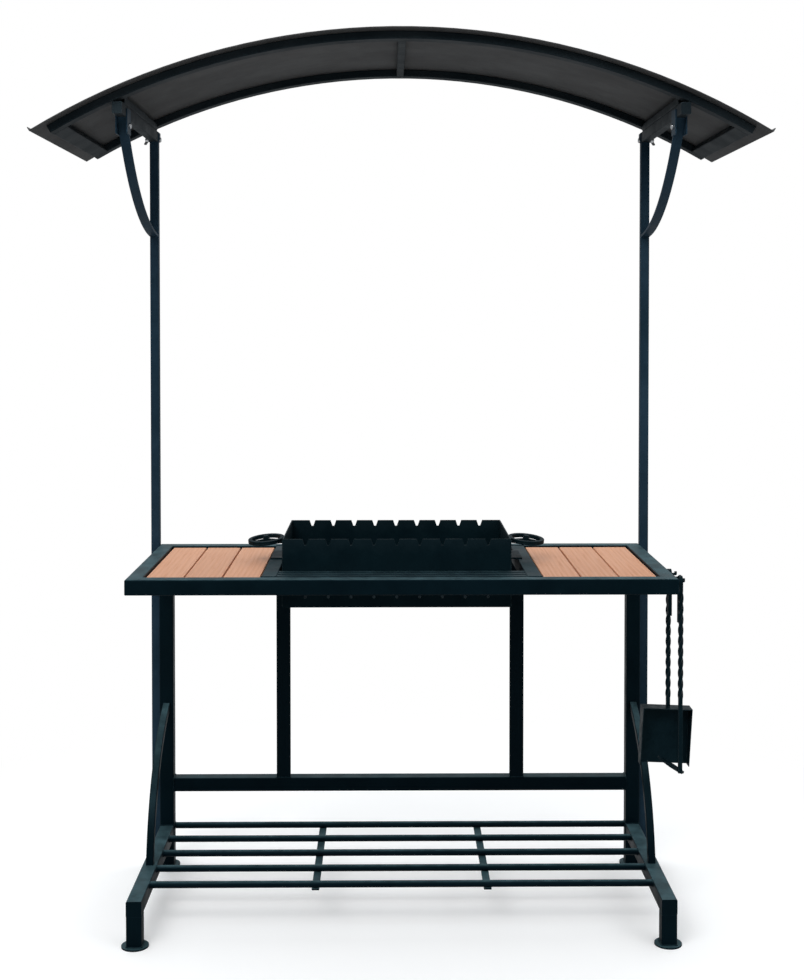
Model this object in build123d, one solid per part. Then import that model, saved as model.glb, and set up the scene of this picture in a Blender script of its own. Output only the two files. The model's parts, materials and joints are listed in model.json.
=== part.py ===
from build123d import *
from math import degrees, sqrt
import os

# A free-standing charcoal grill table with a roof.
# X runs to the right, Y to the back and Z up. The origin is on the ground, at the middle of the plan.
# The front of the table faces -Y. All sizes are in millimetres.

# Steel tube
frame_tube = 40
frame_wall = 2
frame_corner = 3.5
slim_tube = 20
post_tube = 25
slim_wall = 1.5
slim_corner = 2.5
end_cap = 2

# Table
table_width = 1400
table_depth = 600
table_top = 940
half_width = table_width / 2
half_depth = table_depth / 2
table_underside = table_top - frame_tube
opening_half = 320
hearth_bar_centres = (-240, -210, -180)

# Planks
plank_count = 3
plank_thickness = 20
plank_recess = 5
plank_gap = 4.5
plank_edge_radius = 2
ledge_leg = 15
ledge_thickness = 3

# Stand
pad_radius = 35
pad_thickness = 4
side_rail_top = 122
cross_rail_top = 261
shelf_rod_diameter = 18
shelf_rod_rise = 1
shelf_rod_count = 5
shelf_rod_first = -167
shelf_rod_pitch = 113
strap_width = 20
strap_thickness = 4
strap_centre = 226

# Lower braces: an arc in the plane of each side rail
leg_brace_x = 680
leg_brace_centre = (404, 39)
leg_brace_outer_radius = 465

# Firebox, a loose tray that hangs in the table by two lugs
firebox_centre_x = -12.5
firebox_width = 600
firebox_front = -150
firebox_back = 220
firebox_height = 180
firebox_bottom = 840
firebox_sheet = 3
firebox_top = firebox_bottom + firebox_height
firebox_left = firebox_centre_x - firebox_width / 2
firebox_right = firebox_centre_x + firebox_width / 2
notch_count = 9
notch_pitch = 60
notch_width = 16
notch_root = 5
notch_depth = 16
air_hole_radius = 4
air_hole_height = 28
lug_length = 45
lug_front = 17
lug_back = 146
lug_thickness = 4

# Hand wheels, one beyond each end of the firebox
wheel_offset = 57.5
wheel_y = 40
wheel_z = 991
wheel_droop = 5
wheel_lean = 5
wheel_radius = 50
wheel_rim = 11
wheel_rim_height = 11
wheel_rim_softness = 2
wheel_groove = 1.8
wheel_hub_radius = 9
wheel_hub_height = 14
wheel_spokes = 3
spoke_width = 7
spoke_thickness = 6
bracket_width = 24
bracket_thickness = 4
bracket_reach = 16
bracket_root = 5
wheel_bolt_radius = 4
running_clearance = 0.05
side_play = 0.3
bolt_head_height = 4
bolt_head_flats = 13

# Hooks and tools
hook_radius = 3.5
hook_z = 925
hook_reach = 23
hook_tip_height = 7
hook_places = (-245, -196, -140)
tool_bar = 10
tool_loop_inner = 4
tool_leg = 108
twist_top = 900
quarter_twist_length = 27.6
poker_quarter_twists = 10
shovel_quarter_twists = 11
poker_x = 714
poker_bottom = 432
poker_tip_reach = (-48, 50, 23)
poker_tip_width = 17
poker_tip_thickness = 5
poker_heel_length = 9
poker_heel_width = 10
shovel_x = 706
shovel_width = 130
shovel_length = 155
shovel_heel = 45
shovel_toe = 32
shovel_sheet = 2
shovel_top = 572
shovel_back = -113
shovel_offset = -4.5
shovel_tilt = 2.2

# Roof
post_outer = half_width + post_tube
post_middle = half_width + post_tube / 2
post_top = 2140
roof_axis_z = 540
roof_inner_radius = 1758
roof_outer_radius = roof_inner_radius + slim_tube
roof_frame_angle = 30
end_bar_drop = 0.15
roof_sheet_thickness = 2
roof_sheet_angle = 31.2
roof_sheet_half_depth = 345
roof_lip = 10
crown_purlin_gap = 0.1
roof_beam_height = 30
roof_beam_top = 2141
roof_beam_bottom = roof_beam_top - roof_beam_height
roof_brace_thickness = 6
roof_brace_centre = (326, 2538)
roof_brace_outer_radius = 703
sleeve_wall = 3
sleeve_fit = 0.25
sleeve_bottom = 2112
sleeve_top = 2137
sleeve_bolt_z = 2118
brace_plate_y = -215
brace_plate_width = 50
brace_plate_bottom = 2068
brace_plate_top = 2133
brace_plate_corner = 6
brace_bolt_z = 2092
brace_bolt_gap = 2
roof_bolt_radius = 4
roof_bolt_head_radius = 7.5
roof_bolt_head_height = 4
roof_bolt_end = 3
wing_hub_radius = 7
wing_hub_height = 8
wing_span = 15
wing_thickness = 3
wing_tip_rise = 6
wing_softness = 1.5

SIDES = {"left": -1, "right": 1}
DIRECTIONS = ((1, 0, 0), (0, 1, 0), (0, 0, 1))


def tube_section(width, height):
    """The ring-shaped section of a rectangular tube, with rounded corners."""
    slim = min(width, height) < frame_tube
    wall = slim_wall if slim else frame_wall
    corner = slim_corner if slim else frame_corner
    hollow = RectangleRounded(width - 2 * wall, height - 2 * wall, corner - wall)
    return RectangleRounded(width, height, corner) - hollow


def box_tube(low, high, along, closed=()):
    """A tube that fills the box from low to high and runs along X, Y or Z.

    closed names the ends, "low" or "high", that a welded cap closes.
    """
    run = "XYZ".index(along)
    across = (run + 1) % 3
    up = (run + 2) % 3
    size = [high[i] - low[i] for i in range(3)]
    start = [(low[i] + high[i]) / 2 for i in range(3)]
    start[run] = low[run]
    plane = Plane(origin=start, x_dir=DIRECTIONS[across], z_dir=DIRECTIONS[run])
    tube = extrude(plane * tube_section(size[across], size[up]), size[run])
    corner = slim_corner if min(size[across], size[up]) < frame_tube else frame_corner
    cap = RectangleRounded(size[across], size[up], corner)
    if "low" in closed:
        tube += extrude(plane * cap, end_cap)
    if "high" in closed:
        tube += extrude(plane.offset(size[run] - end_cap) * cap, end_cap)
    return tube


def solid_box(low, high):
    """A plain block that fills the box from low to high."""
    size = [high[i] - low[i] for i in range(3)]
    middle = [(low[i] + high[i]) / 2 for i in range(3)]
    return Pos(*middle) * Box(*size)


def span(side, near, far):
    """The lowest and highest X of something between near and far from the middle, on one side."""
    return min(side * near, side * far), max(side * near, side * far)


def prism(points, plane, thickness):
    """A closed outline on a plane, drawn out along the plane's normal."""
    return extrude(plane * make_face(Polyline(points, close=True)), thickness)


# Stand


def make_foot_pads():
    """Four round plates under the legs."""
    inset = frame_tube / 2
    places = GridLocations(2 * (half_width - inset), 2 * (half_depth - inset), 2, 2)
    disc = Pos(0, 0, pad_thickness / 2) * Cylinder(pad_radius, pad_thickness)
    return [place * disc for place in places]


def make_front_leg(side):
    """A short leg under the front end of a side rail."""
    low_x, high_x = span(side, half_width - frame_tube, half_width)
    top = side_rail_top - frame_tube
    return box_tube((low_x, -half_depth, pad_thickness), (high_x, frame_tube - half_depth, top), "Z")


def make_rear_leg(side):
    """A full-height leg from its pad to the underside of the table."""
    low_x, high_x = span(side, half_width - frame_tube, half_width)
    low = (low_x, half_depth - frame_tube, pad_thickness)
    return box_tube(low, (high_x, half_depth, table_underside), "Z")


def make_side_rail(side):
    """A base rail from above the front leg to the face of the rear leg."""
    low_x, high_x = span(side, half_width - frame_tube, half_width)
    low = (low_x, -half_depth, side_rail_top - frame_tube)
    return box_tube(low, (high_x, half_depth - frame_tube, side_rail_top), "Y", closed=("low",))


def make_cross_rail():
    """The rail that joins the two rear legs."""
    reach = half_width - frame_tube
    low = (-reach, half_depth - frame_tube, cross_rail_top - frame_tube)
    return box_tube(low, (reach, half_depth, cross_rail_top), "X")


def make_upright(side):
    """A post from the cross rail to the table, under the end of an inner rail."""
    low_x, high_x = span(side, opening_half, opening_half + frame_tube)
    front = half_depth - frame_tube
    return box_tube((low_x, front, cross_rail_top), (high_x, front + slim_tube, table_underside), "Z")


def curved_bar(section, centre, middle_radius, x_middle):
    """A full ring of one section in a YZ plane, to be cut to the stretch that a brace needs."""
    axis = Axis((x_middle, centre[0], centre[1]), (1, 0, 0))
    section_plane = Plane(
        origin=(x_middle, centre[0] + middle_radius, centre[1]),
        x_dir=(1, 0, 0),
        z_dir=(0, 0, 1),
    )
    return revolve(section_plane * section, axis, 360)


def make_leg_brace(side):
    """An arc of slim tube from the top of the side rail to the front face of the rear leg."""
    radius = leg_brace_outer_radius - slim_tube / 2
    ring = curved_bar(tube_section(slim_tube, slim_tube), leg_brace_centre, radius, side * leg_brace_x)
    low_x, high_x = span(side, leg_brace_x - slim_tube, leg_brace_x + slim_tube)
    keep = solid_box((low_x, -half_depth, side_rail_top), (high_x, half_depth - frame_tube, table_top))
    return ring & keep


def make_shelf_rods():
    """Round rods across the base, between the side rails and between the rear legs."""
    reach = half_width - frame_tube
    centre_z = side_rail_top + shelf_rod_rise - shelf_rod_diameter / 2
    rod = Rot(0, 90, 0) * Cylinder(shelf_rod_diameter / 2, 2 * reach)
    return [Pos(0, shelf_rod_first + i * shelf_rod_pitch, centre_z) * rod for i in range(shelf_rod_count)]


def make_shelf_straps():
    """Two flat bars that tie the shelf rods together from below."""
    top = side_rail_top + shelf_rod_rise - shelf_rod_diameter
    front = shelf_rod_first - shelf_rod_diameter / 2
    back = shelf_rod_first + (shelf_rod_count - 1) * shelf_rod_pitch + shelf_rod_diameter / 2
    straps = []
    for side in SIDES.values():
        low_x, high_x = span(side, strap_centre - strap_width / 2, strap_centre + strap_width / 2)
        straps.append(solid_box((low_x, front, top - strap_thickness), (high_x, back, top)))
    return straps


# Table


def make_table_rail(place):
    """One side of the table's outer frame, with its ends cut to a mitre."""
    corners = {"front": (0, 1), "right": (1, 2), "rear": (2, 3), "left": (3, 0)}[place]
    outline = [frame_corner_point(corner, 0) for corner in corners]
    outline += [frame_corner_point(corner, frame_tube) for corner in reversed(corners)]
    low = (min(x for x, y in outline), min(y for x, y in outline), table_underside)
    high = (max(x for x, y in outline), max(y for x, y in outline), table_top)
    along = "X" if place in ("front", "rear") else "Y"
    mitre = prism(outline, Plane.XY.offset(table_underside), frame_tube)
    return box_tube(low, high, along) & mitre


def frame_corner_point(corner, inset):
    """A corner of the table in plan, counted round from the front left, moved inwards by inset."""
    x = half_width - inset
    y = half_depth - inset
    return ((-x, -y), (x, -y), (x, y), (-x, y))[corner]


def make_inner_rail(side):
    """A rail from front to back beside the firebox opening."""
    low_x, high_x = span(side, opening_half, opening_half + frame_tube)
    reach = half_depth - frame_tube
    return box_tube((low_x, -reach, table_underside), (high_x, reach, table_top), "Y")


def make_hearth_bars():
    """Three slim bars across the opening, in front of the firebox."""
    bars = []
    for centre in hearth_bar_centres:
        low = (-opening_half, centre - slim_tube / 2, table_top - slim_tube)
        high = (opening_half, centre + slim_tube / 2, table_top)
        bars.append(box_tube(low, high, "X"))
    return bars


def make_plank(side, number):
    """One wooden plank, counted outwards from the inner rail."""
    bay = half_width - opening_half - 2 * frame_tube
    width = (bay - (plank_count + 1) * plank_gap) / plank_count
    inner = opening_half + frame_tube + plank_gap + (number - 1) * (width + plank_gap)
    top = table_top - plank_recess
    reach = half_depth - frame_tube - plank_gap
    start = Plane(
        origin=(side * (inner + width / 2), -reach, top - plank_thickness / 2),
        x_dir=(0, 0, 1),
        z_dir=(0, 1, 0),
    )
    return extrude(start * RectangleRounded(plank_thickness, width, plank_edge_radius), 2 * reach)


def make_plank_ledges():
    """Angle bars on the front and rear rails, which carry the ends of the planks."""
    top = table_top - plank_recess - plank_thickness
    face = half_depth - frame_tube
    angle = (
        (0, 0),
        (0, -ledge_leg),
        (ledge_thickness, -ledge_leg),
        (ledge_thickness, -ledge_thickness),
        (ledge_leg, -ledge_thickness),
        (ledge_leg, 0),
    )
    ledges = []
    for side in SIDES.values():
        low_x, high_x = span(side, opening_half + frame_tube, half_width - frame_tube)
        for towards in (1, -1):
            points = [(-towards * face + towards * y, top + z) for y, z in angle]
            ledges.append(prism(points, Plane.YZ.offset(low_x), high_x - low_x))
    return ledges


# Firebox


def notch_places():
    """The X of each skewer notch."""
    first = firebox_centre_x - notch_pitch * (notch_count - 1) / 2
    return [first + i * notch_pitch for i in range(notch_count)]


def make_notched_wall(outer_y, inwards):
    """A long wall with skewer notches along its top and air holes near its bottom."""
    points = [(firebox_left, firebox_bottom), (firebox_left, firebox_top)]
    for x in notch_places():
        points.append((x - notch_width / 2, firebox_top))
        points.append((x - notch_root / 2, firebox_top - notch_depth))
        points.append((x + notch_root / 2, firebox_top - notch_depth))
        points.append((x + notch_width / 2, firebox_top))
    points += [(firebox_right, firebox_top), (firebox_right, firebox_bottom)]
    back_y = max(outer_y, outer_y + inwards * firebox_sheet)
    wall = prism(points, Plane.XZ.offset(-back_y), firebox_sheet)
    hole = Rot(90, 0, 0) * Cylinder(air_hole_radius, 4 * firebox_sheet)
    for x in notch_places():
        wall -= Pos(x, outer_y, firebox_bottom + air_hole_height) * hole
    return wall


def firebox_edge(side):
    """The X of the firebox's outer face on one side."""
    return firebox_left if side < 0 else firebox_right


def make_end_wall(side):
    """A short wall between the two long ones."""
    edge = firebox_edge(side)
    low_x = min(edge, edge - side * firebox_sheet)
    low = (low_x, firebox_front + firebox_sheet, firebox_bottom)
    return solid_box(low, (low_x + firebox_sheet, firebox_back - firebox_sheet, firebox_top))


def make_firebox_floor():
    """The floor, inside the four walls."""
    low = (firebox_left + firebox_sheet, firebox_front + firebox_sheet, firebox_bottom)
    high = (firebox_right - firebox_sheet, firebox_back - firebox_sheet, firebox_bottom + firebox_sheet)
    return solid_box(low, high)


def make_firebox_lugs():
    """The two plates that rest on the inner rails and carry the firebox."""
    lugs = []
    for side in SIDES.values():
        edge = firebox_edge(side)
        low_x = min(edge, edge + side * lug_length)
        low = (low_x, lug_front, table_top)
        lugs.append(solid_box(low, (low_x + lug_length, lug_back, table_top + lug_thickness)))
    return lugs


def wheel_frame(side):
    """Where a hand wheel's middle is, tipped a little down towards its outer side and its front."""
    tip = Rot(0, side * wheel_droop, 0) * Rot(wheel_lean, 0, 0)
    return Pos(firebox_edge(side) + side * wheel_offset, wheel_y, wheel_z) * tip


def make_hand_wheel(side):
    """A grooved ring on spokes, with a bored hub."""
    rim_middle = wheel_radius - wheel_rim / 2
    rim = Cylinder(wheel_radius, wheel_rim_height) - Cylinder(wheel_radius - wheel_rim, wheel_rim_height)
    rim = fillet(rim.edges(), wheel_rim_softness)
    groove = Torus(wheel_radius + wheel_groove / 2, wheel_groove)
    wheel = rim - groove
    wheel += Cylinder(wheel_hub_radius, wheel_hub_height)
    spoke_root = wheel_hub_radius / 2
    spoke_length = rim_middle - spoke_root
    spoke = Pos(spoke_root + spoke_length / 2, 0, 0) * Box(spoke_length, spoke_width, spoke_thickness)
    for i in range(wheel_spokes):
        wheel += Rot(0, 0, 90 + i * 360 / wheel_spokes) * spoke
    wheel -= Cylinder(wheel_bolt_radius + running_clearance, 2 * wheel_hub_height)
    return wheel_frame(side) * wheel


def make_wheel_brackets():
    """A flat arm from each end wall, under the hub of each hand wheel."""
    middle_z = -wheel_hub_height / 2 - side_play - bracket_thickness / 2
    length = bracket_root + wheel_offset + bracket_reach
    firebox_block = solid_box(
        (firebox_left, firebox_front, firebox_bottom), (firebox_right, firebox_back, firebox_top)
    )
    brackets = []
    for side in SIDES.values():
        arm = Box(length, bracket_width, bracket_thickness)
        arm = Pos(side * (bracket_reach - length / 2), 0, middle_z) * arm
        arm -= Cylinder(wheel_bolt_radius + running_clearance, 4 * wheel_hub_height)
        brackets.append(wheel_frame(side) * arm - firebox_block)
    return brackets


def make_wheel_bolts():
    """A bolt and its nut through each bracket and hub."""
    hub_top = wheel_hub_height / 2 + side_play
    arm_bottom = -wheel_hub_height / 2 - side_play - bracket_thickness
    length = hub_top - arm_bottom + bolt_head_height
    head = RegularPolygon(bolt_head_flats / 2, 6, major_radius=False)
    bolt = Pos(0, 0, hub_top) * extrude(head, bolt_head_height)
    bolt += Pos(0, 0, hub_top - length / 2) * Cylinder(wheel_bolt_radius, length)
    nut = extrude(head, bolt_head_height)
    nut -= Cylinder(wheel_bolt_radius + running_clearance, 4 * bolt_head_height)
    nut = Pos(0, 0, arm_bottom - bolt_head_height) * nut
    pieces = []
    for side in SIDES.values():
        pieces += [wheel_frame(side) * bolt, wheel_frame(side) * nut]
    return pieces


# Tools


def make_tool_hooks():
    """Three upturned pegs on the outer face of the right rail."""
    corner_x = half_width + hook_reach
    peg = Pos(half_width + hook_reach / 2, 0, hook_z) * Rot(0, 90, 0) * Cylinder(hook_radius, hook_reach)
    peg += Pos(corner_x, 0, hook_z) * Sphere(hook_radius)
    peg += Pos(corner_x, 0, hook_z + hook_tip_height / 2) * Cylinder(hook_radius, hook_tip_height)
    return [Pos(0, place, 0) * peg for place in hook_places]


def twisted_handle(tool_x, hook_y, shaft_side, quarter_twists, shaft_bottom):
    """A square bar that is bent over a hook, twisted along its grip and plain below it."""
    offset = tool_loop_inner + tool_bar / 2
    shaft_y = hook_y + shaft_side * offset
    leg_y = hook_y - shaft_side * offset
    square = Rectangle(tool_bar, tool_bar)
    section_plane = Plane(origin=(tool_x, hook_y + offset, hook_z), x_dir=(1, 0, 0), z_dir=(0, 0, 1))
    bend_axis = Axis((tool_x, hook_y, hook_z), (1, 0, 0))
    bar = revolve(section_plane * square, bend_axis, 180)
    bar += Pos(tool_x, leg_y, hook_z - tool_leg) * extrude(square, tool_leg)
    bar += Pos(tool_x, shaft_y, twist_top) * extrude(square, hook_z - twist_top)
    grip_length = quarter_twists * quarter_twist_length
    twist_bottom = twist_top - grip_length
    grip = Solid.extrude_linear_with_rotation(
        square.face(), center=(0, 0, 0), normal=(0, 0, grip_length), angle=90 * quarter_twists
    )
    bar += Pos(tool_x, shaft_y, twist_bottom) * Part(grip.wrapped)
    bar += Pos(tool_x, shaft_y, shaft_bottom) * extrude(square, twist_bottom - shaft_bottom)
    return bar


def make_poker():
    """The poker: its flattened end is bent back and to the left."""
    hook_y = hook_places[0]
    bar = twisted_handle(poker_x, hook_y, -1, poker_quarter_twists, poker_bottom)
    heel = Vector(poker_x, hook_y - tool_loop_inner - tool_bar / 2, poker_bottom + poker_tip_thickness)
    reach = Vector(*poker_tip_reach)
    blade_plane = Plane(origin=heel, x_dir=reach, z_dir=reach.cross(Vector(1, 1, 0)))
    upper_half = (
        (-poker_heel_length, poker_heel_width / 2),
        (0, 0.7 * poker_heel_width),
        (0.35 * reach.length, poker_tip_width / 2),
        (0.75 * reach.length, poker_tip_width / 3),
    )
    lower_half = [(along, -across) for along, across in reversed(upper_half)]
    outline = [*upper_half, (reach.length, 0), *lower_half]
    flat = prism(outline, blade_plane.offset(-poker_tip_thickness / 2), poker_tip_thickness)
    return bar + flat


def make_shovel_shaft():
    """The shovel's twisted handle, down to the heel of its blade."""
    return twisted_handle(shovel_x, hook_places[2], 1, shovel_quarter_twists, shovel_top)


def make_shovel_blade():
    """A folded sheet scoop that hangs heel up, open to the front."""
    half = shovel_width / 2
    back = solid_box((-half, -shovel_sheet, -shovel_length), (half, 0, 0))
    heel = solid_box((-half, -shovel_heel, -shovel_sheet), (half, 0, 0))
    cheek_outline = ((0, 0), (-shovel_heel, 0), (-shovel_toe, -shovel_length), (0, -shovel_length))
    blade = back + heel
    for edge in (-half, half - shovel_sheet):
        blade += prism(cheek_outline, Plane.YZ.offset(edge), shovel_sheet)
    back_fold = blade.edges().filter_by(Axis.X).group_by(Axis.Y)[-1].group_by(Axis.Z)[-1]
    blade = fillet(back_fold, shovel_sheet / 2)
    place = Pos(shovel_x + shovel_offset, shovel_back, shovel_top - side_play)
    return place * Rot(0, shovel_tilt, 0) * blade


# Roof


def arched(section, from_angle, to_angle):
    """A section at the crown, turned about the roof's axis between two angles from upright."""
    axis = Axis((0, 0, roof_axis_z), (0, 1, 0))
    return revolve(section, axis, to_angle - from_angle).rotate(axis, from_angle)


def crown_plane(middle_y, radius):
    """The upright plane across the crown of the roof, in which an arch's section lies."""
    return Plane(origin=(0, middle_y, roof_axis_z + radius), x_dir=(0, 1, 0), z_dir=(-1, 0, 0))


def make_arch(middle_y):
    """A tube bent to the roof's curve."""
    radius = roof_inner_radius + slim_tube / 2
    section = crown_plane(middle_y, radius) * tube_section(frame_tube, slim_tube)
    return arched(section, -roof_frame_angle, roof_frame_angle)


def make_roof_sheet():
    """The thin curved sheet, with a short upturned lip at each end."""
    radius = roof_outer_radius + roof_sheet_thickness / 2
    section = crown_plane(0, radius) * Rectangle(2 * roof_sheet_half_depth, roof_sheet_thickness)
    sheet = arched(section, -roof_sheet_angle, roof_sheet_angle)
    lip_radius = roof_outer_radius + roof_lip / 2
    lip_section = crown_plane(0, lip_radius) * Rectangle(2 * roof_sheet_half_depth, roof_lip)
    lip_angle = degrees(roof_sheet_thickness / roof_outer_radius)
    for end in (-roof_sheet_angle, roof_sheet_angle - lip_angle):
        sheet += arched(lip_section, end, end + lip_angle)
    return sheet


def make_roof_end_bars():
    """A flat-laid tube between the arches at each end of the roof."""
    reach = half_depth - frame_tube
    half_bar_angle = degrees((frame_tube / 2) / (roof_inner_radius + slim_tube / 2))
    middle = roof_inner_radius + slim_tube / 2 - end_bar_drop
    low = (-frame_tube / 2, -reach, middle - slim_tube / 2)
    bar = box_tube(low, (frame_tube / 2, reach, middle + slim_tube / 2), "Y")
    end_angle = roof_frame_angle - half_bar_angle
    return [Pos(0, 0, roof_axis_z) * Rot(0, angle, 0) * bar for angle in (-end_angle, end_angle)]


def make_roof_purlins():
    """Slim tubes between the arches: one at the crown and one on each side beam."""
    reach = half_depth - frame_tube
    crown_low = roof_axis_z + roof_inner_radius
    low = (-slim_tube / 2, -reach, crown_low)
    purlins = [box_tube(low, (slim_tube / 2, reach, crown_low + slim_tube - crown_purlin_gap), "Y")]
    for side in SIDES.values():
        low_x, high_x = span(side, half_width, post_outer)
        low = (low_x, -reach, roof_beam_top)
        purlins.append(box_tube(low, (high_x, reach, roof_beam_top + slim_tube), "Y"))
    return purlins


def make_roof_beam(side):
    """A beam under the arches, from the front of the roof to the post."""
    low_x, high_x = span(side, half_width, post_outer)
    back = half_depth - post_tube - sleeve_wall - sleeve_fit
    low = (low_x, -half_depth, roof_beam_bottom)
    return box_tube(low, (high_x, back, roof_beam_top), "Y", closed=("low",))


def make_roof_post(side):
    """A post on the outer face of the rear leg and table, up to the rear arch."""
    low_x, high_x = span(side, half_width, post_outer)
    low = (low_x, half_depth - post_tube, pad_thickness)
    post = box_tube(low, (high_x, half_depth, post_top), "Z")
    hole = Rot(0, 90, 0) * Cylinder(roof_bolt_radius, 2 * post_tube)
    return post - Pos(side * post_middle, sleeve_bolt_y(), sleeve_bolt_z) * hole


def make_roof_brace(side):
    """An arc of flat bar from the front of the post to the underside of the side beam."""
    middle = side * post_middle
    radius = roof_brace_outer_radius - roof_brace_thickness / 2
    ring = curved_bar(Rectangle(post_tube, roof_brace_thickness), roof_brace_centre, radius, middle)
    low_x, high_x = span(side, half_width - 1, post_outer + 1)
    keep = solid_box((low_x, -half_depth, table_top), (high_x, half_depth - post_tube, roof_beam_bottom))
    return ring & keep


def sleeve_bolt_y():
    """The Y of the bolt through each post."""
    return half_depth - post_tube / 2


def brace_bolt_y():
    """The Y of the bolt through each pair of plates, just behind the brace."""
    inner_radius = roof_brace_outer_radius - roof_brace_thickness
    drop = roof_brace_centre[1] - brace_bolt_z
    brace_back = roof_brace_centre[0] - sqrt(inner_radius**2 - drop**2)
    return brace_back + roof_bolt_radius + brace_bolt_gap


def make_post_sleeves():
    """A short collar around the top of each roof post."""
    inner = post_tube + 2 * sleeve_fit
    outer = inner + 2 * sleeve_wall
    ring = RectangleRounded(outer, outer, slim_corner + sleeve_wall)
    ring -= RectangleRounded(inner, inner, slim_corner)
    collar = extrude(ring, sleeve_top - sleeve_bottom)
    hole = Rot(0, 90, 0) * Cylinder(roof_bolt_radius, 2 * outer)
    collar -= Pos(0, 0, sleeve_bolt_z - sleeve_bottom) * hole
    places = [Pos(side * post_middle, sleeve_bolt_y(), sleeve_bottom) for side in SIDES.values()]
    return [place * collar for place in places]


def make_brace_plates():
    """A pair of plates on each side beam, which hold the top of the brace between them."""
    height = brace_plate_top - brace_plate_bottom
    face = Plane(
        origin=(0, brace_plate_y, brace_plate_bottom + height / 2),
        x_dir=(0, 1, 0),
        z_dir=(1, 0, 0),
    )
    plate = extrude(face * RectangleRounded(brace_plate_width, height, brace_plate_corner), sleeve_wall)
    hole = Rot(0, 90, 0) * Cylinder(roof_bolt_radius, 4 * sleeve_wall)
    plate -= Pos(0, brace_bolt_y(), brace_bolt_z) * hole
    plates = []
    for side in SIDES.values():
        for face_x in (half_width - sleeve_wall, post_outer):
            low_x = min(side * face_x, side * (face_x + sleeve_wall))
            plates.append(Pos(low_x, 0, 0) * plate)
    return plates


def roof_bolt(length):
    """A round-headed bolt along +Z, with the underside of its head at the origin."""
    shank = Pos(0, 0, length / 2) * Cylinder(roof_bolt_radius - running_clearance, length)
    dome = Cylinder(roof_bolt_head_radius, roof_bolt_head_height)
    dome = fillet(dome.edges().group_by(Axis.Z)[0], roof_bolt_head_height - 1)
    return shank + Pos(0, 0, -roof_bolt_head_height / 2) * dome


def make_roof_bolts():
    """Bolts through the posts and the brace plates, with their heads inside."""
    sleeve_half = post_tube / 2 + sleeve_fit + sleeve_wall
    plate_half = post_tube / 2 + sleeve_wall
    sleeve_bolt = roof_bolt(2 * sleeve_half + wing_hub_height + roof_bolt_end)
    plate_bolt = roof_bolt(2 * plate_half)
    bolts = []
    for side in SIDES.values():
        across = Rot(0, side * 90, 0)
        sleeve_place = Pos(side * (post_middle - sleeve_half), sleeve_bolt_y(), sleeve_bolt_z)
        plate_place = Pos(side * (post_middle - plate_half), brace_bolt_y(), brace_bolt_z)
        bolts += [sleeve_place * across * sleeve_bolt, plate_place * across * plate_bolt]
    return bolts


def make_wing_nuts():
    """A wing nut on the outer end of the bolt through each post, with one wing down."""
    hub = Pos(0, 0, wing_hub_height / 2) * Cylinder(wing_hub_radius, wing_hub_height)
    wing_top = wing_hub_height + wing_tip_rise
    wing_outline = (
        (0, 1),
        (0.55 * wing_span, 3),
        (wing_span, wing_hub_height),
        (0.95 * wing_span, wing_top),
        (0.7 * wing_span, wing_top),
        (0, wing_hub_height - 1),
    )
    wing = prism(wing_outline, Plane.XZ.offset(-wing_thickness / 2), wing_thickness)
    wing = fillet(wing.edges().filter_by(Axis.Y).group_by(Axis.X)[-1], wing_softness)
    nut = hub + wing + Rot(0, 0, 180) * wing
    nut -= Cylinder(roof_bolt_radius, 4 * wing_hub_height)
    face = post_outer + sleeve_fit + sleeve_wall
    nuts = []
    for side in SIDES.values():
        place = Pos(side * face, sleeve_bolt_y(), sleeve_bolt_z)
        nuts.append(place * Rot(0, side * 90, 0) * nut)
    return nuts


def build():
    """Every node of the grill, by name."""
    nodes = {"foot_pads": make_foot_pads()}
    for name, side in SIDES.items():
        nodes[f"{name}_front_leg"] = make_front_leg(side)
        nodes[f"{name}_rear_leg"] = make_rear_leg(side)
        nodes[f"{name}_side_rail"] = make_side_rail(side)
        nodes[f"{name}_upright"] = make_upright(side)
        nodes[f"{name}_leg_brace"] = make_leg_brace(side)
        nodes[f"{name}_inner_rail"] = make_inner_rail(side)
        nodes[f"{name}_hand_wheel"] = make_hand_wheel(side)
        nodes[f"{name}_roof_post"] = make_roof_post(side)
        nodes[f"{name}_roof_brace"] = make_roof_brace(side)
        nodes[f"{name}_roof_beam"] = make_roof_beam(side)
        nodes[f"firebox_{name}_wall"] = make_end_wall(side)
        for number in range(1, plank_count + 1):
            nodes[f"{name}_plank_{number}"] = make_plank(side, number)
    nodes["rear_cross_rail"] = make_cross_rail()
    nodes["shelf_rods"] = make_shelf_rods()
    nodes["shelf_straps"] = make_shelf_straps()
    for place in ("front", "rear", "left", "right"):
        nodes[f"table_{place}_rail"] = make_table_rail(place)
    nodes["hearth_bars"] = make_hearth_bars()
    nodes["plank_ledges"] = make_plank_ledges()
    nodes["firebox_front_wall"] = make_notched_wall(firebox_front, 1)
    nodes["firebox_rear_wall"] = make_notched_wall(firebox_back, -1)
    nodes["firebox_floor"] = make_firebox_floor()
    nodes["firebox_lugs"] = make_firebox_lugs()
    nodes["wheel_brackets"] = make_wheel_brackets()
    nodes["wheel_bolts"] = make_wheel_bolts()
    nodes["tool_hooks"] = make_tool_hooks()
    nodes["poker"] = make_poker()
    nodes["shovel_shaft"] = make_shovel_shaft()
    nodes["shovel_blade"] = make_shovel_blade()
    nodes["front_arch"] = make_arch(frame_tube / 2 - half_depth)
    nodes["rear_arch"] = make_arch(half_depth - frame_tube / 2)
    nodes["roof_end_bars"] = make_roof_end_bars()
    nodes["roof_purlins"] = make_roof_purlins()
    nodes["roof_sheet"] = make_roof_sheet()
    nodes["post_sleeves"] = make_post_sleeves()
    nodes["brace_plates"] = make_brace_plates()
    nodes["roof_bolts"] = make_roof_bolts()
    nodes["wing_nuts"] = make_wing_nuts()
    return nodes


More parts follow.
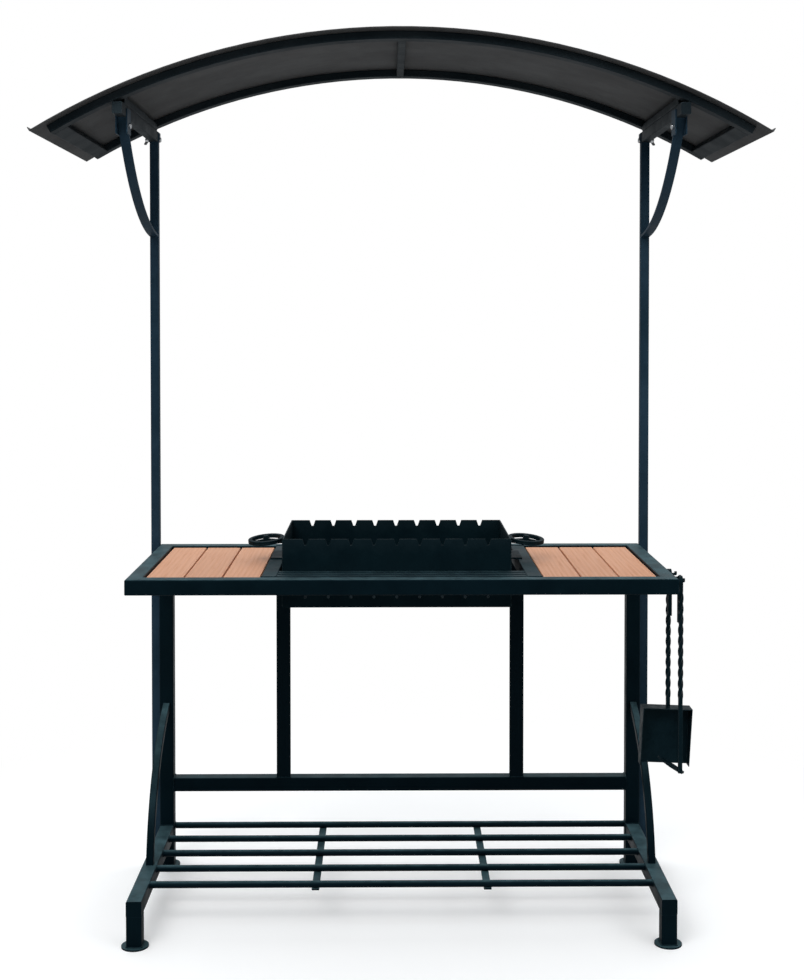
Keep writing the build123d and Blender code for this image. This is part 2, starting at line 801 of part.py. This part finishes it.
def main():
    os.makedirs("parts", exist_ok=True)
    for name, shape in build().items():
        pieces = shape if isinstance(shape, list) else [shape]
        solids = [solid for piece in pieces for solid in piece.solids()]
        export_step(Compound(children=solids), f"parts/{name}.step")


main()
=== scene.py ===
import json
import math

import bmesh
import bpy
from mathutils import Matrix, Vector


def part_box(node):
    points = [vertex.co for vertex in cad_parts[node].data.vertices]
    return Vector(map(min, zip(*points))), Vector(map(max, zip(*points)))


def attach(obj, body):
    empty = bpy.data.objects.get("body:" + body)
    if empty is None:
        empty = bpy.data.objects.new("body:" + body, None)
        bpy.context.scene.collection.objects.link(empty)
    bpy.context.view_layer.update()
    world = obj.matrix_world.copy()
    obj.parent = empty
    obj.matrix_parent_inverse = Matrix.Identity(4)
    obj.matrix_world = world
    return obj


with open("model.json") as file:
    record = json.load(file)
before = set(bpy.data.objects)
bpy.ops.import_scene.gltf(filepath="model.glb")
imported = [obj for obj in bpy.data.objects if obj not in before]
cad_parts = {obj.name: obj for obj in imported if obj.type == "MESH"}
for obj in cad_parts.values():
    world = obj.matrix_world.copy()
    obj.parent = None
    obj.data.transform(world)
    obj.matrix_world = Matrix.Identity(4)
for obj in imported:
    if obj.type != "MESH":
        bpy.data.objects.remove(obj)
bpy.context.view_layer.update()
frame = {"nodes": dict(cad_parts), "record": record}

# A charcoal grill table with a roof. The CAD nodes give every shape. This script gives them their
# materials, adds weld beads, and sets up the floor, the lights and the camera. Metres, +Z up.

nodes = frame["nodes"]
ROOT = "stand_and_roof"
SIDES = ("left", "right")


# Materials

# The paler colour of level faces, a little dust with a painted sheen of light, and the blue cast of the
# paint's reflections.
DUST_AND_SHEEN = (0.083, 0.163, 0.186)
SKY_TINT = (0.4, 0.82, 1.0)
RANGE_SOCKETS = ("From Min", "From Max", "To Min", "To Max")


class Recipe:
    """One material's node tree, with short calls for the nodes that the recipes share."""

    def __init__(self, name):
        self.material = bpy.data.materials.new(name)
        self.material.use_nodes = True
        self.tree = self.material.node_tree
        self.shader = self.tree.nodes["Principled BSDF"]
        self.place = self.node("ShaderNodeTexCoord").outputs["Object"]

    def node(self, kind, **settings):
        """A new node with the given settings."""
        made = self.tree.nodes.new(kind)
        for key, value in settings.items():
            setattr(made, key, value)
        return made

    def feed(self, socket, value):
        """Links a node's output to a socket, or sets the socket to a plain value."""
        if isinstance(value, bpy.types.NodeSocket):
            self.tree.links.new(value, socket)
        else:
            socket.default_value = value

    def stretched(self, scale, shift=(0, 0, 0)):
        """The object's coordinates, scaled along each axis and shifted."""
        mapping = self.node("ShaderNodeMapping")
        self.feed(mapping.inputs["Vector"], self.place)
        mapping.inputs["Scale"].default_value = scale
        mapping.inputs["Location"].default_value = shift
        return mapping.outputs["Vector"]

    def noise(self, scale, detail=3, rough=0.5, vector=None):
        """Cloudy noise from 0 to 1."""
        made = self.node("ShaderNodeTexNoise")
        self.feed(made.inputs["Vector"], vector or self.place)
        made.inputs["Scale"].default_value = scale
        made.inputs["Detail"].default_value = detail
        made.inputs["Roughness"].default_value = rough
        return made.outputs["Fac"]

    def span(self, value, low, high, to_low=0.0, to_high=1.0):
        """A value eased from one range to another, and held at its ends."""
        made = self.node("ShaderNodeMapRange", interpolation_type="SMOOTHSTEP")
        self.feed(made.inputs["Value"], value)
        for key, number in zip(RANGE_SOCKETS, (low, high, to_low, to_high)):
            made.inputs[key].default_value = number
        return made.outputs["Result"]

    def math(self, operation, first, second):
        """Two values put together by one operation."""
        made = self.node("ShaderNodeMath", operation=operation)
        self.feed(made.inputs[0], first)
        self.feed(made.inputs[1], second)
        return made.outputs["Value"]

    def blend(self, factor, first, second):
        """The first colour at a factor of 0 and the second at 1."""
        made = self.node("ShaderNodeMix", data_type="RGBA")
        self.feed(made.inputs[0], factor)
        for socket, value in ((made.inputs[6], first), (made.inputs[7], second)):
            self.feed(socket, value if isinstance(value, bpy.types.NodeSocket) else (*value, 1))
        return made.outputs[2]

    def axis(self, vector, name):
        """One of a vector's three parts."""
        split = self.node("ShaderNodeSeparateXYZ")
        self.feed(split.inputs[0], vector)
        return split.outputs[name]

    def bump(self, height, depth, strength=1.0, under=None):
        """A surface normal roughened by a height, over an earlier bump if one is given."""
        made = self.node("ShaderNodeBump")
        self.feed(made.inputs["Height"], height)
        made.inputs["Distance"].default_value = depth
        made.inputs["Strength"].default_value = strength
        if under is not None:
            self.feed(made.inputs["Normal"], under)
        return made.outputs["Normal"]

    def edges(self, radius):
        """1 on the rounded edges of a piece and 0 on its flats."""
        soft = self.node("ShaderNodeBevel", samples=4)
        soft.inputs["Radius"].default_value = radius
        flat = self.node("ShaderNodeNewGeometry").outputs["True Normal"]
        dot = self.node("ShaderNodeVectorMath", operation="DOT_PRODUCT")
        self.feed(dot.inputs[0], soft.outputs["Normal"])
        self.feed(dot.inputs[1], flat)
        return self.span(dot.outputs["Value"], 0.99, 0.8)

    def facing_up(self):
        """1 on level upward faces and 0 on upright ones."""
        normal = self.node("ShaderNodeNewGeometry").outputs["True Normal"]
        return self.span(self.axis(normal, "Z"), 0.55, 0.98)

    def finish(self, colour, roughness, normal=None, metallic=0.0, specular=0.5, sheen=(1, 1, 1)):
        """Feeds the shader and hands over the material."""
        self.feed(self.shader.inputs["Base Color"], colour)
        self.feed(self.shader.inputs["Roughness"], roughness)
        self.shader.inputs["Metallic"].default_value = metallic
        self.shader.inputs["Specular IOR Level"].default_value = specular
        self.shader.inputs["Specular Tint"].default_value = (*sheen, 1)
        if normal is not None:
            self.feed(self.shader.inputs["Normal"], normal)
        return self.material


def painted_steel(name, deep, pale, dust_and_sheen, dullness):
    """Powder coat on steel: cloudy tint, orange-peel skin, rubbed edges with a painted edge
    highlight, and a little dust with a painted sheen of light on level faces.

    deep and pale are the two tints, the next number is how far dust and a painted sheen of light
    pale the level faces, and dullness is the middle of the paint's roughness.
    """
    recipe = Recipe(name)
    cloud = recipe.span(recipe.noise(5.5, 5, 0.6), 0.3, 0.72)
    colour = recipe.blend(cloud, deep, pale)
    speck = recipe.span(recipe.noise(420, 2, 0.5), 0.6, 0.74, 0.0, 0.3)
    speck_tint = tuple(1.8 * part for part in pale)
    colour = recipe.blend(speck, colour, speck_tint)
    # Paler rubbed edges in patches: part wear, part painted edge highlight.
    patchy = recipe.span(recipe.noise(28, 4, 0.7), 0.42, 0.68, 0.0, 0.6)
    edge_wear_and_highlight = recipe.math("MULTIPLY", recipe.edges(0.0016), patchy)
    worn_and_highlit_tint = tuple(4 * part + 0.012 for part in pale)
    colour = recipe.blend(edge_wear_and_highlight, colour, worn_and_highlit_tint)
    # Level faces paled in patches: a little dust and a painted sheen of light on top faces.
    dust_and_sheen_patches = recipe.span(recipe.noise(17, 5, 0.65), 0.28, 0.75, 0.35, 1.0)
    dust_and_sheen_mask = recipe.math("MULTIPLY", recipe.facing_up(), dust_and_sheen_patches)
    dust_and_sheen_mask = recipe.math("MULTIPLY", dust_and_sheen_mask, dust_and_sheen)
    colour = recipe.blend(dust_and_sheen_mask, colour, DUST_AND_SHEEN)
    roughness = recipe.span(recipe.noise(11, 4, 0.6), 0.25, 0.75, dullness - 0.07, dullness + 0.09)
    roughness = recipe.math("ADD", roughness, recipe.math("MULTIPLY", dust_and_sheen_mask, 0.2))
    skin = recipe.bump(recipe.noise(650, 2, 0.5), 0.00012, 0.7)
    skin = recipe.bump(recipe.noise(60, 3, 0.5), 0.0005, 0.25, skin)
    return recipe.finish(colour, roughness, skin, specular=0.12, sheen=SKY_TINT)


def heated_steel(name):
    """Matte heat-proof paint, scorched to a paler grey towards the rim of the firebox."""
    deep = (0.0007, 0.0042, 0.0066)
    pale = (0.0018, 0.0078, 0.0112)
    scorched = (0.008, 0.015, 0.019)
    ash = (0.008, 0.016, 0.02)
    bare_and_highlit = (0.045, 0.068, 0.076)
    scorch_depth = 0.045
    recipe = Recipe(name)
    rim_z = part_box("firebox_front_wall")[1].z
    cloud = recipe.span(recipe.noise(7, 5, 0.65), 0.3, 0.72)
    colour = recipe.blend(cloud, deep, pale)
    height = recipe.axis(recipe.place, "Z")
    ragged = recipe.math("ADD", height, recipe.span(recipe.noise(14, 4, 0.7), 0.2, 0.8, -0.02, 0.02))
    rim = recipe.span(ragged, rim_z - scorch_depth, rim_z, 0.0, 0.4)
    colour = recipe.blend(rim, colour, scorched)
    speck = recipe.span(recipe.noise(260, 3, 0.6), 0.6, 0.75, 0.0, 0.35)
    colour = recipe.blend(speck, colour, ash)
    # Paler rubbed edges in patches: part bare steel, part painted edge highlight.
    patchy = recipe.span(recipe.noise(40, 4, 0.7), 0.4, 0.65, 0.25, 0.9)
    edge_wear_and_highlight = recipe.math("MULTIPLY", recipe.edges(0.0012), patchy)
    colour = recipe.blend(edge_wear_and_highlight, colour, bare_and_highlit)
    roughness = recipe.span(recipe.noise(16, 4, 0.6), 0.25, 0.75, 0.48, 0.68)
    skin = recipe.bump(recipe.noise(380, 3, 0.6), 0.0002, 0.8)
    return recipe.finish(colour, roughness, skin, specular=0.14, sheen=SKY_TINT)


def sheet_paint(name):
    """Flat grey paint on the thin roof sheet, a little blotched, with faint rolling marks."""
    deep = (0.04, 0.0415, 0.043)
    pale = (0.053, 0.054, 0.055)
    roller_mark = (0.074, 0.0745, 0.0745)
    fleck = (0.1, 0.1, 0.099)
    recipe = Recipe(name)
    cloud = recipe.span(recipe.noise(2.6, 5, 0.6), 0.3, 0.7)
    colour = recipe.blend(cloud, deep, pale)
    rolled = recipe.noise(9, 3, 0.5, recipe.stretched((1, 14, 1)))
    colour = recipe.blend(recipe.span(rolled, 0.35, 0.7, 0.0, 0.2), colour, roller_mark)
    speck = recipe.span(recipe.noise(340, 2, 0.5), 0.58, 0.72, 0.0, 0.4)
    colour = recipe.blend(speck, colour, fleck)
    roughness = recipe.span(recipe.noise(6, 4, 0.6), 0.25, 0.75, 0.52, 0.68)
    skin = recipe.bump(recipe.noise(500, 2, 0.5), 0.0001, 0.6)
    skin = recipe.bump(recipe.noise(5, 2, 0.5), 0.004, 0.25, skin)
    return recipe.finish(colour, roughness, skin, specular=0.25)


def plank_wood(name, seed):
    """Oiled softwood with straight grain along Y, fine pores, a few stains and a painted highlight on
    the edges.
    """
    tone = 1 + 0.05 * math.sin(2.4 * seed)
    light = tuple(tone * part for part in (0.655, 0.325, 0.188))
    dark = tuple(tone * part for part in (0.6, 0.282, 0.157))
    pale_patch = (0.7, 0.37, 0.225)
    pore = (0.4, 0.155, 0.08)
    stain = (0.4, 0.16, 0.09)
    painted_edge_highlight = (0.84, 0.5, 0.35)
    recipe = Recipe(name)
    shift = (3.7 * seed, 1.3 * seed, 2.1 * seed)
    rings = recipe.node("ShaderNodeTexWave", wave_type="BANDS", bands_direction="X")
    recipe.feed(rings.inputs["Vector"], recipe.stretched((1, 0.09, 1), shift))
    rings.inputs["Scale"].default_value = 24
    rings.inputs["Distortion"].default_value = 3.5
    rings.inputs["Detail"].default_value = 3
    rings.inputs["Detail Scale"].default_value = 1.4
    grain = recipe.span(rings.outputs["Fac"], 0.1, 0.95)
    colour = recipe.blend(grain, light, dark)
    broad = recipe.noise(3.5, 4, 0.6, recipe.stretched((1, 0.35, 1), shift))
    colour = recipe.blend(recipe.span(broad, 0.3, 0.72, 0.0, 0.5), colour, pale_patch)
    fibre = recipe.noise(210, 3, 0.6, recipe.stretched((1, 0.028, 1), shift))
    colour = recipe.blend(recipe.span(fibre, 0.52, 0.72, 0.0, 0.28), colour, pore)
    smudge = recipe.noise(13, 5, 0.7, recipe.stretched((0.5, 2.2, 1), shift))
    colour = recipe.blend(recipe.span(smudge, 0.6, 0.76, 0.0, 0.3), colour, stain)
    # Paler edges: a painted highlight along each plank's edges.
    edge_wear_and_highlight = recipe.math("MULTIPLY", recipe.edges(0.0022), 0.45)
    colour = recipe.blend(edge_wear_and_highlight, colour, painted_edge_highlight)
    roughness = recipe.span(fibre, 0.3, 0.75, 0.46, 0.64)
    skin = recipe.bump(fibre, 0.0004, 0.6)
    skin = recipe.bump(grain, 0.0003, 0.35, skin)
    return recipe.finish(colour, roughness, skin, specular=0.35)


def zinc_plate(name):
    """Bright zinc with a fine mottle."""
    deep = (0.66, 0.67, 0.69)
    pale = (0.84, 0.85, 0.86)
    recipe = Recipe(name)
    mottle = recipe.span(recipe.noise(240, 3, 0.6), 0.3, 0.7)
    colour = recipe.blend(mottle, deep, pale)
    roughness = recipe.span(recipe.noise(160, 3, 0.6), 0.3, 0.7, 0.2, 0.36)
    skin = recipe.bump(recipe.noise(900, 2), 0.00005, 0.5)
    return recipe.finish(colour, roughness, skin, metallic=1.0)


def forged_steel(name):
    """Black paint over hammered bar: uneven, with paler rubbed corners that are partly a painted edge
    highlight.
    """
    deep = (0.0008, 0.0045, 0.0068)
    pale = (0.003, 0.0095, 0.0132)
    bare_and_highlit = (0.05, 0.072, 0.08)
    recipe = Recipe(name)
    cloud = recipe.span(recipe.noise(30, 5, 0.65), 0.3, 0.72)
    colour = recipe.blend(cloud, deep, pale)
    # Paler rubbed corners in patches: part wear, part painted edge highlight.
    patchy = recipe.span(recipe.noise(70, 4, 0.7), 0.35, 0.62, 0.1, 0.8)
    edge_wear_and_highlight = recipe.math("MULTIPLY", recipe.edges(0.0015), patchy)
    colour = recipe.blend(edge_wear_and_highlight, colour, bare_and_highlit)
    roughness = recipe.span(recipe.noise(45, 4, 0.6), 0.25, 0.75, 0.34, 0.56)
    skin = recipe.bump(recipe.noise(120, 3, 0.6), 0.0006, 0.6)
    return recipe.finish(colour, roughness, skin, specular=0.14, sheen=SKY_TINT)


frame_paint = painted_steel("frame_paint", (0.0004, 0.003, 0.0052), (0.0011, 0.006, 0.0096), 0.6, 0.4)
# A darker copy of the frame paint for the lower, inner parts of the frame: painted shade.
shaded_inner_paint = painted_steel(
    "shaded_inner_frame_paint", (0.0003, 0.0022, 0.0042), (0.0009, 0.0045, 0.0076), 0.25, 0.46
)
post_paint = painted_steel("post_paint", (0.0105, 0.025, 0.041), (0.021, 0.044, 0.07), 0.4, 0.42)
roof_paint = painted_steel("roof_frame_paint", (0.01, 0.0135, 0.0165), (0.018, 0.0225, 0.026), 0.3, 0.5)
firebox_paint = heated_steel("firebox_paint")
sheet_grey = sheet_paint("roof_sheet_paint")
zinc = zinc_plate("zinc_plate")
tool_paint = forged_steel("tool_paint")

ROOF_FRAME = (
    "front_arch",
    "rear_arch",
    "roof_purlins",
    "roof_end_bars",
    "left_roof_beam",
    "right_roof_beam",
)
UPPER_POSTS = (
    "left_roof_post",
    "right_roof_post",
    "left_roof_brace",
    "right_roof_brace",
    "brace_plates",
    "post_sleeves",
)
# The lower, inner parts of the frame, which take the darker copy of the frame paint: painted shade.
INNER_FRAME = (
    "left_inner_rail",
    "right_inner_rail",
    "hearth_bars",
    "rear_cross_rail",
    "left_upright",
    "right_upright",
)
BY_SLOT = {
    "frame_steel": frame_paint,
    "firebox_steel": firebox_paint,
    "roof_sheet_steel": sheet_grey,
    "tool_steel": tool_paint,
    "zinc_fasteners": zinc,
}


def set_material(obj, material):
    """Gives an object this material and no other."""
    obj.data.materials.clear()
    obj.data.materials.append(material)


def dress_cad_nodes():
    """Gives every carried-over CAD node its material. Each plank gets a grain of its own."""
    seed = 0
    for row in frame["record"]["subparts"]:
        node = nodes[row["node"]]
        if row["material_slot"] == "plank_wood":
            seed += 1
            set_material(node, plank_wood(f"plank_wood_{seed}", seed))
        elif row["node"] in ROOF_FRAME:
            set_material(node, roof_paint)
        elif row["node"] in UPPER_POSTS:
            set_material(node, post_paint)
        elif row["node"] in INNER_FRAME:
            set_material(node, shaded_inner_paint)
        else:
            set_material(node, BY_SLOT[row["material_slot"]])


dress_cad_nodes()


# Weld beads

# A path's step along a bead, the sides of a bead's section, and the bead and corner radii.
BEAD_PITCH = 0.002
BEAD_SIDES = 6
FRAME_BEAD = 0.0022
FIREBOX_BEAD = 0.0013
FRAME_CORNER = 0.0035
SLIM_CORNER = 0.0025
CORNER_STEPS = 4
SHELF_ROD_COUNT = 5
# Half the width, half the height and the corner radius of the bead where a beam meets an arch.
ROOF_SEAM = (0.009, 0.003, 0.002)
CORNER_SEAM_INSET = 0.004
LUG_SEAM_INSET = 0.003


def rounded_loop(middle, across, up, half_width, half_height, corner):
    """Points around a rectangle with rounded corners, drawn in the plane of across and up."""
    points = []
    for turn, (side, rise) in enumerate(((1, 1), (-1, 1), (-1, -1), (1, -1))):
        for step in range(CORNER_STEPS):
            angle = math.radians(90 * (turn + step / (CORNER_STEPS - 1)))
            sideways = side * (half_width - corner) + corner * math.cos(angle)
            upwards = rise * (half_height - corner) + corner * math.sin(angle)
            points.append(middle + sideways * across + upwards * up)
    return points


def around_tube(node, along, end, corner):
    """The loop around a straight tube where one of its ends meets another piece."""
    low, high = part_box(node)
    middle = (low + high) / 2
    middle[along] = high[along] if end == "high" else low[along]
    across = Vector((0, 0, 0))
    up = Vector((0, 0, 0))
    across[(along + 1) % 3] = 1
    up[(along + 2) % 3] = 1
    size = high - low
    return rounded_loop(middle, across, up, size[(along + 1) % 3] / 2, size[(along + 2) % 3] / 2, corner)


def evenly_spaced(points, closed, pitch):
    """The same path, resampled at an even pitch."""
    corners = points + points[:1] if closed else points
    spaced = []
    for start, stop in zip(corners, corners[1:]):
        count = max(1, round((stop - start).length / pitch))
        spaced += [start.lerp(stop, i / count) for i in range(count)]
    return spaced if closed else spaced + [corners[-1]]


def ripple(i):
    """A bead's thickness at its i-th ring, against its plain radius: two waves, so it looks uneven."""
    return 1 + 0.16 * math.sin(1.9 * i) + 0.07 * math.sin(0.53 * i + 1)


def square_to(tangent):
    """A unit vector at right angles to a path, level unless the path runs straight up."""
    if abs(tangent.z) > 0.9:
        return tangent.orthogonal().normalized()
    return tangent.cross((0, 0, 1)).normalized()


def add_bead(mesh, points, closed, radius):
    """One rippled weld bead along a path."""
    path = evenly_spaced(points, closed, BEAD_PITCH)
    rings = []
    for i, point in enumerate(path):
        before = path[i - 1] if closed or i > 0 else point
        after = path[(i + 1) % len(path)] if closed or i + 1 < len(path) else point
        tangent = (after - before).normalized()
        side = square_to(tangent)
        up = side.cross(tangent)
        thickness = radius * ripple(i)
        ring = []
        for k in range(BEAD_SIDES):
            angle = 2 * math.pi * k / BEAD_SIDES
            outwards = math.cos(angle) * side + math.sin(angle) * up
            ring.append(mesh.verts.new(point + thickness * outwards))
        rings.append(ring)
    pairs = list(zip(rings, rings[1:]))
    if closed:
        pairs.append((rings[-1], rings[0]))
    for first, second in pairs:
        for k in range(BEAD_SIDES):
            following = (k + 1) % BEAD_SIDES
            mesh.faces.new((first[k], first[following], second[following], second[k]))
    if not closed:
        mesh.faces.new(reversed(rings[0]))
        mesh.faces.new(rings[-1])


def make_beads(name, loops, lines, radius, material, body):
    """One piece that holds several weld beads: loops are closed paths and lines are open ones."""
    mesh = bmesh.new()
    for points in loops:
        add_bead(mesh, points, True, radius)
    for points in lines:
        add_bead(mesh, points, False, radius)
    bmesh.ops.recalc_face_normals(mesh, faces=mesh.faces)
    data = bpy.data.meshes.new(name)
    mesh.to_mesh(data)
    mesh.free()
    for face in data.polygons:
        face.use_smooth = True
    piece = bpy.data.objects.new(name, data)
    bpy.context.scene.collection.objects.link(piece)
    set_material(piece, material)
    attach(piece, body)


def rod_end_loops():
    """The rings where the shelf rods meet the side rails and rear legs."""
    low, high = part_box("shelf_rods")
    radius = (high.z - low.z) / 2
    spacing = (high.y - low.y - 2 * radius) / (SHELF_ROD_COUNT - 1)
    back = Vector((0, 1, 0))
    up = Vector((0, 0, 1))
    loops = []
    for x in (low.x, high.x):
        for i in range(SHELF_ROD_COUNT):
            middle = Vector((x, low.y + radius + i * spacing, low.z + radius))
            loops.append(rounded_loop(middle, back, up, radius, radius, radius))
    return loops


def make_stand_beads():
    """The seams of the shelf, the legs and the table's inner rails."""
    loops = rod_end_loops()
    loops += [around_tube("rear_cross_rail", 0, end, FRAME_CORNER) for end in ("low", "high")]
    for side in SIDES:
        loops.append(around_tube(f"{side}_upright", 2, "low", SLIM_CORNER))
        loops.append(around_tube(f"{side}_upright", 2, "high", SLIM_CORNER))
        loops.append(around_tube(f"{side}_rear_leg", 2, "low", FRAME_CORNER))
        loops.append(around_tube(f"{side}_front_leg", 2, "low", FRAME_CORNER))
        loops.append(around_tube(f"{side}_side_rail", 1, "high", FRAME_CORNER))
        loops.append(around_tube(f"{side}_inner_rail", 1, "low", FRAME_CORNER))
        loops.append(around_tube(f"{side}_inner_rail", 1, "high", FRAME_CORNER))
    make_beads("stand_welds", loops, [], FRAME_BEAD, frame_paint, ROOT)


def make_roof_beads():
    """A short bead on each side beam at the inner face of each arch."""
    inner_faces = (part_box("front_arch")[1].y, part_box("rear_arch")[0].y)
    across = Vector((1, 0, 0))
    up = Vector((0, 0, 1))
    loops = []
    for side in SIDES:
        low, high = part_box(f"{side}_roof_beam")
        for y in inner_faces:
            middle = Vector(((low.x + high.x) / 2, y, high.z))
            loops.append(rounded_loop(middle, across, up, *ROOF_SEAM))
    make_beads("roof_welds", loops, [], FRAME_BEAD, roof_paint, ROOT)


def make_firebox_beads():
    """The upright corner seams of the firebox and the seams of its lugs."""
    low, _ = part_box("firebox_front_wall")
    _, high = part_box("firebox_rear_wall")
    lug_low, lug_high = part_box("firebox_lugs")
    seam_bottom = low.z + CORNER_SEAM_INSET
    seam_top = high.z - CORNER_SEAM_INSET
    lug_front = lug_low.y + LUG_SEAM_INSET
    lug_back = lug_high.y - LUG_SEAM_INSET
    lines = []
    for x in (low.x, high.x):
        for y in (low.y, high.y):
            lines.append([Vector((x, y, seam_bottom)), Vector((x, y, seam_top))])
        lines.append([Vector((x, lug_front, lug_high.z)), Vector((x, lug_back, lug_high.z))])
    make_beads("firebox_welds", [], lines, FIREBOX_BEAD, firebox_paint, "firebox")


make_stand_beads()
make_roof_beads()
make_firebox_beads()


# Floor, light and camera

FLOOR_REACH = 60
# How far from the grill the floor's shadows start to fade, and where they have gone.
SHADOWS_FADE = (0.75, 1.9)
PAPER_GLOW = 0.19
REFLECTED_FLOOR = (0.4, 0.4, 0.4, 1)
WHITE = (1, 1, 1, 1)
STUDIO_SKY = (0.93, 0.97, 1.0, 1)
# From and to of a direction's height, or of how far back it points, and the brightness at each end.
OVERHEAD_LIGHT = (0.0, 0.95, 0.05, 0.95)
LIGHT_FROM_BEHIND = (0.1, 1.0, 0.0, 0.3)
# Name, place, target, width, height and watts.
LIGHTS = (
    ("key", (-1.6, -3.2, 3.9), (0, 0, 1.0), 2.6, 1.6, 95),
    ("fill", (3.0, -2.6, 2.6), (0, 0, 1.1), 2.0, 2.0, 28),
    ("top", (0, 0.6, 4.4), (0, 0, 0.9), 3.2, 2.0, 60),
)
# Metres, degrees and millimetres of lens. The shift is a share of the sensor's width.
CAMERA_PLACE = (-0.0376, -3.9503, 1.5878)
CAMERA_TILT_DOWN = 1.393
CAMERA_TURN = -0.585
LENS = 53.38
LENS_SHIFT = -0.1347


def make_floor_paper():
    """White paper that glows a little, so that only soft shadows near the grill show on it.

    Past the shadows it is pure white to the eye. Every other ray sees a dimmer floor.
    """
    recipe = Recipe("floor_paper")
    tree = recipe.tree
    tone = recipe.blend(recipe.noise(1.5, 3, 0.5), (0.86, 0.86, 0.86), (0.88, 0.88, 0.88))
    recipe.finish(tone, 0.9, specular=0.05)
    recipe.shader.inputs["Emission Color"].default_value = WHITE
    recipe.shader.inputs["Emission Strength"].default_value = PAPER_GLOW
    glow = recipe.node("ShaderNodeEmission")
    reach_from_grill = recipe.node("ShaderNodeVectorMath", operation="LENGTH")
    recipe.feed(reach_from_grill.inputs[0], recipe.place)
    far = recipe.span(reach_from_grill.outputs["Value"], *SHADOWS_FADE)
    paper = recipe.node("ShaderNodeMixShader")
    recipe.feed(paper.inputs[0], far)
    tree.links.new(recipe.shader.outputs[0], paper.inputs[1])
    tree.links.new(glow.outputs[0], paper.inputs[2])
    dim = recipe.node("ShaderNodeBsdfDiffuse")
    dim.inputs["Color"].default_value = REFLECTED_FLOOR
    seen = recipe.node("ShaderNodeLightPath")
    either = recipe.node("ShaderNodeMixShader")
    recipe.feed(either.inputs[0], seen.outputs["Is Camera Ray"])
    tree.links.new(dim.outputs[0], either.inputs[1])
    tree.links.new(paper.outputs[0], either.inputs[2])
    tree.links.new(either.outputs[0], tree.nodes["Material Output"].inputs["Surface"])
    return recipe.material


def make_floor():
    """A wide level floor."""
    mesh = bpy.data.meshes.new("floor")
    reach = FLOOR_REACH
    corners = [(-reach, -reach, 0), (reach, -reach, 0), (reach, reach, 0), (-reach, reach, 0)]
    mesh.from_pydata(corners, [], [(0, 1, 2, 3)])
    floor = bpy.data.objects.new("floor", mesh)
    bpy.context.scene.collection.objects.link(floor)
    set_material(floor, make_floor_paper())


def area_light(name, place, target, width, height, power):
    """A soft rectangular light that faces its target."""
    light = bpy.data.lights.new(name, "AREA")
    light.shape = "RECTANGLE"
    light.size = width
    light.size_y = height
    light.energy = power
    made = bpy.data.objects.new(name, light)
    bpy.context.scene.collection.objects.link(made)
    made.location = place
    towards = Vector(target) - Vector(place)
    made.rotation_euler = towards.to_track_quat("-Z", "Y").to_euler()


def make_world():
    """White to the eye, but a soft studio to the object: bright above, dim in front, paler behind."""
    world = bpy.data.worlds.new("studio")
    bpy.context.scene.world = world
    world.use_nodes = True
    tree = world.node_tree
    tree.nodes.clear()
    out = tree.nodes.new("ShaderNodeOutputWorld")
    place = tree.nodes.new("ShaderNodeTexCoord")
    split = tree.nodes.new("ShaderNodeSeparateXYZ")
    overhead = tree.nodes.new("ShaderNodeMapRange")
    behind = tree.nodes.new("ShaderNodeMapRange")
    total = tree.nodes.new("ShaderNodeMath")
    for ramp, numbers in ((overhead, OVERHEAD_LIGHT), (behind, LIGHT_FROM_BEHIND)):
        ramp.interpolation_type = "SMOOTHSTEP"
        for key, number in zip(RANGE_SOCKETS, numbers):
            ramp.inputs[key].default_value = number
    studio = tree.nodes.new("ShaderNodeBackground")
    backdrop = tree.nodes.new("ShaderNodeBackground")
    studio.inputs["Color"].default_value = STUDIO_SKY
    backdrop.inputs["Color"].default_value = WHITE
    backdrop.inputs["Strength"].default_value = 1.0
    seen = tree.nodes.new("ShaderNodeLightPath")
    mix = tree.nodes.new("ShaderNodeMixShader")
    for first, second in (
        (place.outputs["Generated"], split.inputs[0]),
        (split.outputs["Z"], overhead.inputs["Value"]),
        (split.outputs["Y"], behind.inputs["Value"]),
        (overhead.outputs["Result"], total.inputs[0]),
        (behind.outputs["Result"], total.inputs[1]),
        (total.outputs[0], studio.inputs["Strength"]),
        (seen.outputs["Is Camera Ray"], mix.inputs[0]),
        (studio.outputs[0], mix.inputs[1]),
        (backdrop.outputs[0], mix.inputs[2]),
        (mix.outputs[0], out.inputs["Surface"]),
    ):
        tree.links.new(first, second)


def make_camera():
    """The photograph's viewpoint: standing height, almost level, with the lens shifted down."""
    data = bpy.data.cameras.new("camera")
    data.sensor_width = 36
    data.lens = LENS
    data.shift_y = LENS_SHIFT
    data.clip_end = 200
    camera = bpy.data.objects.new("camera", data)
    bpy.context.scene.collection.objects.link(camera)
    camera.location = CAMERA_PLACE
    camera.rotation_euler = (math.radians(90 - CAMERA_TILT_DOWN), 0, math.radians(CAMERA_TURN))
    bpy.context.scene.camera = camera


def make_studio():
    """Everything around the grill: a key light from the left, a weak fill and a light above."""
    make_world()
    make_floor()
    for settings in LIGHTS:
        area_light(*settings)
    make_camera()
    bpy.context.scene.view_settings.view_transform = "Standard"
    bpy.context.scene.view_settings.look = "None"


make_studio()
